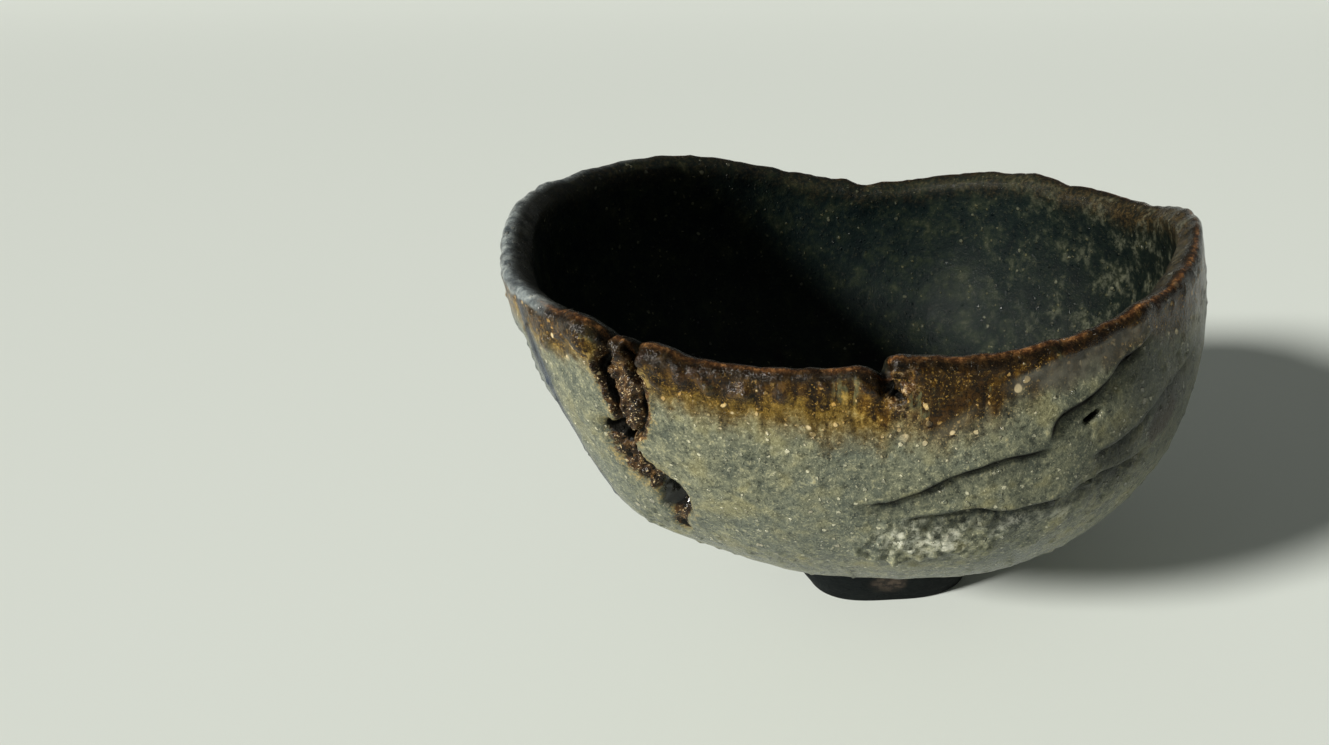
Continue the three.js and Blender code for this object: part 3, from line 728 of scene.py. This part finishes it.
# near-black pit: dark glass, with painted shade of the hollow
outer_col = g.mix(mul(g.att("pit"), 0.95), outer_col, g.mix(g.step(grain, 0.4, 0.6), lin(4, 7, 9), lin(14, 20, 22)))
# painted shade: near-black colour in grooves, cavities, crevices and fold lines
outer_col = g.mix(g.step(g.math("ADD", g.att("painted_recess_shade"), g.math("MULTIPLY", g.math("SUBTRACT", fleck, 0.5), 0.5)), 0.18, 0.50), outer_col, lin(5, 5, 4))

# lip: dark brown glass with a thin red-brown crest at the front and right, brightened as painted highlight; blue-grey
# glass on the left, lightened as painted reflection
turn = g.att("turn")
left_part = mul(g.step(turn, 0.40, 0.50), g.step(turn, 0.672, 0.645))
lip_col = g.ramp(g.math("ADD", mul(fleck, 0.6), mul(grain, 0.4)), [
    (0.36, lin(7, 5, 3)), (0.50, lin(16, 11, 6)), (0.62, lin(38, 28, 13)), (0.72, lin(120, 90, 44))])
lip_col = g.mix(mul(g.att("lip_crest_painted_highlight"), 0.85), lip_col, g.ramp(fleck, [(0.36, lin(44, 26, 13)), (0.50, lin(96, 62, 34)), (0.64, lin(180, 128, 76))]))
# painted glints on the lip
lip_col = g.mix(mul(spark_painted_glint, 0.45), lip_col, lin(230, 186, 128))
lip_left_painted_reflection = g.ramp(g.math("ADD", mul(mid, 0.5), mul(grain, 0.5)), [
    (0.36, lin(34, 41, 45)), (0.47, lin(78, 86, 89)), (0.58, lin(128, 136, 135)), (0.70, lin(176, 181, 176))])
lip_col = g.mix(left_part, lip_col, lip_left_painted_reflection)
outer_col = g.mix(mul(g.att("lip"), 0.92), outer_col, lip_col)
outer_col = g.mix(mul(g.att("bead"), 0.7), outer_col, g.mix(g.step(fleck, 0.42, 0.62), lin(16, 9, 5), lin(54, 34, 18)))

# inside: dark green glass, its colours darkened as painted shade of the interior, also on the paler side where the
# lamp reaches; amber then brown near the lip
dark_in_painted_shade = g.ramp(g.math("ADD", mul(grain, 0.4), mul(mid, 0.6)), [
    (0.36, lin(6, 16, 18)), (0.50, lin(12, 23, 22)), (0.62, lin(27, 35, 26)), (0.74, lin(54, 56, 42))])
pale_in_painted_shade = g.ramp(g.math("ADD", mul(grain, 0.4), mul(mid, 0.6)), [
    (0.36, lin(5, 10, 9)), (0.50, lin(13, 18, 13)), (0.60, lin(30, 32, 23)), (0.70, lin(80, 80, 64))])
in_col = g.mix(mul(g.att("paler"), 0.85), dark_in_painted_shade, pale_in_painted_shade)
in_col = g.mix(mul(light_fleck, 0.05), in_col, lin(150, 146, 108))
in_col = g.mix(mul(blob_m, g.step(mid, 0.42, 0.60), 0.4), in_col, lin(124, 124, 100))
in_col = g.mix(mul(grains, g.step(mid, 0.46, 0.62), 0.35), in_col, lin(112, 108, 76))
in_band = g.step(g.att("band"), 0.25, 1.0, 1.0, 0.0)
in_col = g.mix(mul(in_band, g.math("ADD", 0.12, mul(g.att("paler"), 0.22))), in_col, g.mix(g.step(fleck, 0.42, 0.62), lin(34, 24, 12), lin(100, 78, 40)))
# grey-green mottling on the paler side, lightened as painted highlight
in_col = g.mix(mul(g.att("paler"), g.step(g.math("ADD", mul(grain, 0.5), mul(fleck, 0.5)), 0.46, 0.60), g.step(mid, 0.46, 0.60), 0.42), in_col, lin(92, 94, 80))
in_col = g.mix(mul(g.att("strokes"), 0.85), in_col, lin(4, 6, 14))
in_col = g.mix(mul(g.att("well"), 0.9), in_col, lin(3, 5, 5))
glaze_col = g.mix(g.att("inside"), outer_col, in_col)

# foot: bare dark iron-rich clay, darkened further as painted shade
foot_clay_and_painted_shade = g.ramp(g.math("ADD", mul(grain, 0.5), mul(mid, 0.5)), [
    (0.34, lin(4, 9, 11)), (0.52, lin(9, 15, 17)), (0.68, lin(22, 27, 26))])
foot_clay_and_painted_shade = g.mix(mul(g.att("pale"), 0.7), foot_clay_and_painted_shade, g.mix(g.step(grain, 0.42, 0.6), lin(50, 45, 41), lin(92, 80, 70)))
color = g.mix(g.att("foot"), glaze_col, foot_clay_and_painted_shade)

# roughness
rough = g.math("ADD", 0.25, mul(g.step(grain, 0.35, 0.65), 0.12))
rough = g.math("SUBTRACT", rough, mul(band_fac, 0.12))
rough = g.math("SUBTRACT", rough, mul(g.att("panel"), 0.12))
rough = g.math("SUBTRACT", rough, mul(g.att("pit"), 0.22))
rough = g.math("SUBTRACT", rough, mul(g.att("bead"), 0.18))
rough = g.math("SUBTRACT", rough, mul(spark_painted_glint, 0.10))
rough = g.math("ADD", rough, mul(g.att("inside"), g.math("SUBTRACT", 1.0, g.math("MAXIMUM", grains, blob_m)), 0.26))
rough = g.math("ADD", rough, mul(g.att("painted_recess_shade"), 0.35))
rough = g.math("ADD", rough, mul(g.att("foot"), 0.45))
rough = g.math("MAXIMUM", rough, 0.12)

# fine grain of the surface, left out where the glaze is smooth
calm = g.math("ADD", g.math("ADD", g.att("panel"), g.att("lens")), g.math("ADD", g.att("pit"), mul(g.att("inside"), 0.1)), clamp=True)
height = g.math("ADD", mul(fine, 0.22), mul(fleck, 0.9))
height = g.math("ADD", height, mul(grain, 0.6))
height = g.math("ADD", height, mul(spark_painted_glint, 0.4))
height = g.math("ADD", height, mul(grains, 0.7))
height = g.math("ADD", height, mul(blob_m, 0.9))
height = g.math("MULTIPLY", height, g.math("SUBTRACT", 1.0, mul(calm, 0.8)))
bump = g.t.nodes.new("ShaderNodeBump")
bump.inputs["Strength"].default_value = 0.9
bump.inputs["Distance"].default_value = 0.00030
g.t.links.new(height, bump.inputs["Height"])

shader = g.t.nodes.new("ShaderNodeBsdfPrincipled")
g.t.links.new(color, shader.inputs["Base Color"])
g.t.links.new(rough, shader.inputs["Roughness"])
g.t.links.new(bump.outputs[0], shader.inputs["Normal"])
shader.inputs["Specular IOR Level"].default_value = 0.08
shader.inputs["Specular Tint"].default_value = (1.0, 0.94, 0.80, 1.0)
shader.inputs["Coat Roughness"].default_value = 0.10
wet = g.math("MAXIMUM", g.math("MAXIMUM", mul(band_fac, 0.22), mul(g.att("crack"), 0.30)), g.math("MAXIMUM", mul(g.att("bead"), 0.45), mul(g.att("pit"), 0.7)))
wet = g.math("MAXIMUM", wet, mul(g.att("lip"), left_part, 0.8))
wet = g.math("MAXIMUM", wet, g.math("MAXIMUM", mul(g.math("MAXIMUM", grains, blob_m), 0.6), mul(g.att("flow"), 0.35)))
wet = g.math("MAXIMUM", wet, 0.16)
wet = g.math("MULTIPLY", wet, g.math("SUBTRACT", 1.0, mul(g.att("inside"), g.math("SUBTRACT", 1.0, mul(g.math("MAXIMUM", grains, blob_m), 0.9)), 0.8)))
g.t.links.new(mul(wet, g.math("SUBTRACT", 1.0, g.att("foot")), g.math("SUBTRACT", 1.0, g.att("painted_recess_shade"), clamp=True)), shader.inputs["Coat Weight"])
g.t.links.new(bump.outputs[0], shader.inputs["Coat Normal"])
out = g.t.nodes.new("ShaderNodeOutputMaterial")
g.t.links.new(shader.outputs[0], out.inputs["Surface"])
mesh.materials.append(g.mat)

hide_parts("bowl")
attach(bowl, "root")

# =========================================================================================
# Floor, light and camera
# =========================================================================================
floor_mesh = bpy.data.meshes.new("floor")
ys = [-8.0, 1.0] + [1.0 + 0.5 * k for k in range(1, 53)]
rise = [0.0055 * max(0.0, y - 1.0) ** 2 for y in ys]
floor_mesh.from_pydata([(x, y, z) for y, z in zip(ys, rise) for x in (-45.0, 45.0)], [],
                       [(2 * k, 2 * k + 1, 2 * k + 3, 2 * k + 2) for k in range(len(ys) - 1)])
floor_mesh.polygons.foreach_set("use_smooth", [True] * len(floor_mesh.polygons))
floor = bpy.data.objects.new("floor", floor_mesh)
bpy.context.scene.collection.objects.link(floor)
f = Tree("floor")
fs = f.t.nodes.new("ShaderNodeBsdfPrincipled")
fs.inputs["Base Color"].default_value = (0.69, 0.735, 0.69, 1)
fs.inputs["Roughness"].default_value = 0.6
fs.inputs["Specular IOR Level"].default_value = 0.3
fo = f.t.nodes.new("ShaderNodeOutputMaterial")
f.t.links.new(fs.outputs[0], fo.inputs["Surface"])
floor_mesh.materials.append(f.mat)

world = bpy.data.worlds.new("studio")
bpy.context.scene.world = world
world.use_nodes = True
bg = world.node_tree.nodes.get("Background") or world.node_tree.nodes.new("ShaderNodeBackground")
bg.inputs["Color"].default_value = (0.95, 0.98, 0.92, 1)
bg.inputs["Strength"].default_value = 0.15


def lamp(name, az, el, strength, angle, colour):
    light = bpy.data.lights.new(name, "SUN")
    light.energy = strength
    light.angle = angle * RAD
    light.color = colour
    o = bpy.data.objects.new(name, light)
    bpy.context.scene.collection.objects.link(o)
    towards = Vector((math.cos(az * RAD) * math.cos(el * RAD), math.sin(az * RAD) * math.cos(el * RAD), math.sin(el * RAD)))
    o.rotation_euler = towards.to_track_quat("Z", "Y").to_euler()
    return o


lamp("key", 226, 27, 5.8, 10.0, (1.0, 0.975, 0.93))

# camera: the photograph's viewing point, in the right-hand picture's place in the frame
az, el, dist, roll = 0.1874, 0.4034, 175.649, -0.0132
back = Vector((math.sin(az) * math.cos(el), -math.cos(az) * math.cos(el), math.sin(el)))
right = Vector((math.cos(az), math.sin(az), 0))
up = back.cross(right).normalized()
centre = Vector((0, 0, 40.0)) + right * 6.2478 + up * 4.5429 + back * dist
centre = (centre - Vector((MIDDLE[0], MIDDLE[1], 0))) / 1000
r2 = right * math.cos(roll) + up * math.sin(roll)
u2 = -right * math.sin(roll) + up * math.cos(roll)
cam_data = bpy.data.cameras.new("camera")
cam = bpy.data.objects.new("camera", cam_data)
bpy.context.scene.collection.objects.link(cam)
cam.matrix_world = Matrix(((r2.x, u2.x, back.x, centre.x), (r2.y, u2.y, back.y, centre.y), (r2.z, u2.z, back.z, centre.z), (0, 0, 0, 1)))
cam_data.sensor_fit = "HORIZONTAL"
cam_data.sensor_width = 36.0
cam_data.lens = 846.0 / 1329.0 * 36.0
cam_data.shift_x = -227.5 / 1329.0
cam_data.shift_y = 0.0
cam_data.clip_start = 0.01
bpy.context.scene.camera = cam
bpy.context.scene.view_settings.view_transform = "Standard"
